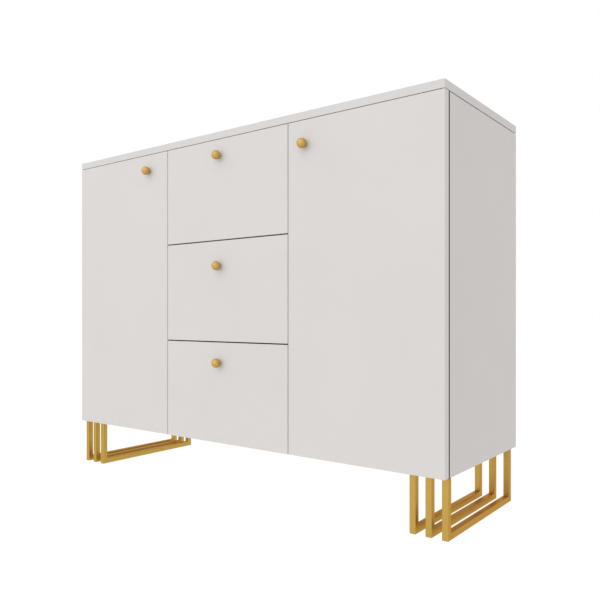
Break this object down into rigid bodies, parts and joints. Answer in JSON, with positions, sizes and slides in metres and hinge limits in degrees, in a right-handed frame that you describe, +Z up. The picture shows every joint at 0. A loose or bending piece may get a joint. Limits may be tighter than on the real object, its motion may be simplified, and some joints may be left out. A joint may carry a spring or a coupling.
{
  "type": "sideboard buffet",
  "caption": "Long low sideboard with hinged cupboard doors, a middle stack of drawers, round knobs and slim square-tube metal leg frames",
  "frame": {"origin": "on the floor, under the middle of the whole sideboard's bounding box, knobs included", "axes": "+Z up, +X to the right seen from the front, the fronts face -Y"},
  "size_m": [1.2, 0.433, 0.914],
  "materials": {
    "carcass_board": "warm off-white satin laminate",
    "front_board": "warm off-white satin lacquer",
    "back_board": "thin off-white fibreboard",
    "drawer_board": "light grey laminate",
    "drawer_base_board": "thin light grey fibreboard",
    "gold_knob": "brushed satin gold",
    "gold_frame": "satin gold",
    "slide_steel": "zinc plated",
    "hinge_steel": "nickel plated",
    "fastener_zinc": "zinc plated",
    "clear_bumper": "soft translucent"
  },
  "bodies": {
    "cabinet": {"top_panel": "carcass_board", "side_panel_left": "carcass_board", "side_panel_right": "carcass_board", "divider_left": "carcass_board", "divider_right": "carcass_board", "bottom_panel": "carcass_board", "back_panel": "back_board", "shelf_left_lower": "carcass_board", "shelf_left_upper": "carcass_board", "shelf_right_lower": "carcass_board", "shelf_right_upper": "carcass_board", "shelf_pins": "fastener_zinc", "leg_left_outer": "gold_frame", "leg_left_middle": "gold_frame", "leg_left_inner": "gold_frame", "leg_right_inner": "gold_frame", "leg_right_middle": "gold_frame", "leg_right_outer": "gold_frame", "leg_plates": "gold_frame", "leg_screws": "gold_frame", "hinge_arms_left": "hinge_steel", "hinge_arms_right": "hinge_steel", "hinge_plates": "hinge_steel", "euro_screws": "fastener_zinc", "cam_locks": "fastener_zinc", "cam_bolts": "fastener_zinc", "door_bumpers": "clear_bumper", "drawer_bottom_rails_outer": "slide_steel", "drawer_middle_rails_outer": "slide_steel", "drawer_top_rails_outer": "slide_steel"},
    "drawer_bottom": {"drawer_bottom_front": "front_board", "drawer_bottom_sides": "drawer_board", "drawer_bottom_back": "drawer_board", "drawer_bottom_base": "drawer_base_board", "drawer_bottom_knob": "gold_knob", "drawer_bottom_rails_inner": "slide_steel"},
    "mid_rails_bottom": {"drawer_bottom_rails_mid": "slide_steel"},
    "drawer_middle": {"drawer_middle_front": "front_board", "drawer_middle_sides": "drawer_board", "drawer_middle_back": "drawer_board", "drawer_middle_base": "drawer_base_board", "drawer_middle_knob": "gold_knob", "drawer_middle_rails_inner": "slide_steel"},
    "mid_rails_middle": {"drawer_middle_rails_mid": "slide_steel"},
    "drawer_top": {"drawer_top_front": "front_board", "drawer_top_sides": "drawer_board", "drawer_top_back": "drawer_board", "drawer_top_base": "drawer_base_board", "drawer_top_knob": "gold_knob", "drawer_top_rails_inner": "slide_steel"},
    "mid_rails_top": {"drawer_top_rails_mid": "slide_steel"},
    "door_left": {"door_left": "front_board", "door_left_hinge_cups": "hinge_steel", "door_left_cup_screws": "hinge_steel", "door_left_knob": "gold_knob"},
    "door_right": {"door_right": "front_board", "door_right_hinge_cups": "hinge_steel", "door_right_cup_screws": "hinge_steel", "door_right_knob": "gold_knob"}
  },
  "joints": [
    {"name": "door_left_hinge", "type": "hinge", "parent": "cabinet", "child": "door_left", "pos_m": [-0.5925, -0.1835, 0.50975], "axis": [0, 0, -1], "range_deg": [0, 95]},
    {"name": "door_right_hinge", "type": "hinge", "parent": "cabinet", "child": "door_right", "pos_m": [0.5925, -0.1835, 0.50975], "axis": [0, 0, 1], "range_deg": [0, 95]},
    {"name": "drawer_bottom_slide", "type": "slide", "parent": "cabinet", "child": "drawer_bottom", "axis": [0, -1, 0], "range_m": [0, 0.34]},
    {"name": "mid_rails_bottom_slide", "type": "slide", "parent": "cabinet", "child": "mid_rails_bottom", "axis": [0, -1, 0], "range_m": [0, 0.17]},
    {"name": "drawer_middle_slide", "type": "slide", "parent": "cabinet", "child": "drawer_middle", "axis": [0, -1, 0], "range_m": [0, 0.34]},
    {"name": "mid_rails_middle_slide", "type": "slide", "parent": "cabinet", "child": "mid_rails_middle", "axis": [0, -1, 0], "range_m": [0, 0.17]},
    {"name": "drawer_top_slide", "type": "slide", "parent": "cabinet", "child": "drawer_top", "axis": [0, -1, 0], "range_m": [0, 0.34]},
    {"name": "mid_rails_top_slide", "type": "slide", "parent": "cabinet", "child": "mid_rails_top", "axis": [0, -1, 0], "range_m": [0, 0.17]}
  ],
  "couplings": [
    {"joint": "mid_rails_bottom_slide", "follows": "drawer_bottom_slide", "ratio": 0.5},
    {"joint": "mid_rails_middle_slide", "follows": "drawer_middle_slide", "ratio": 0.5},
    {"joint": "mid_rails_top_slide", "follows": "drawer_top_slide", "ratio": 0.5}
  ]
}
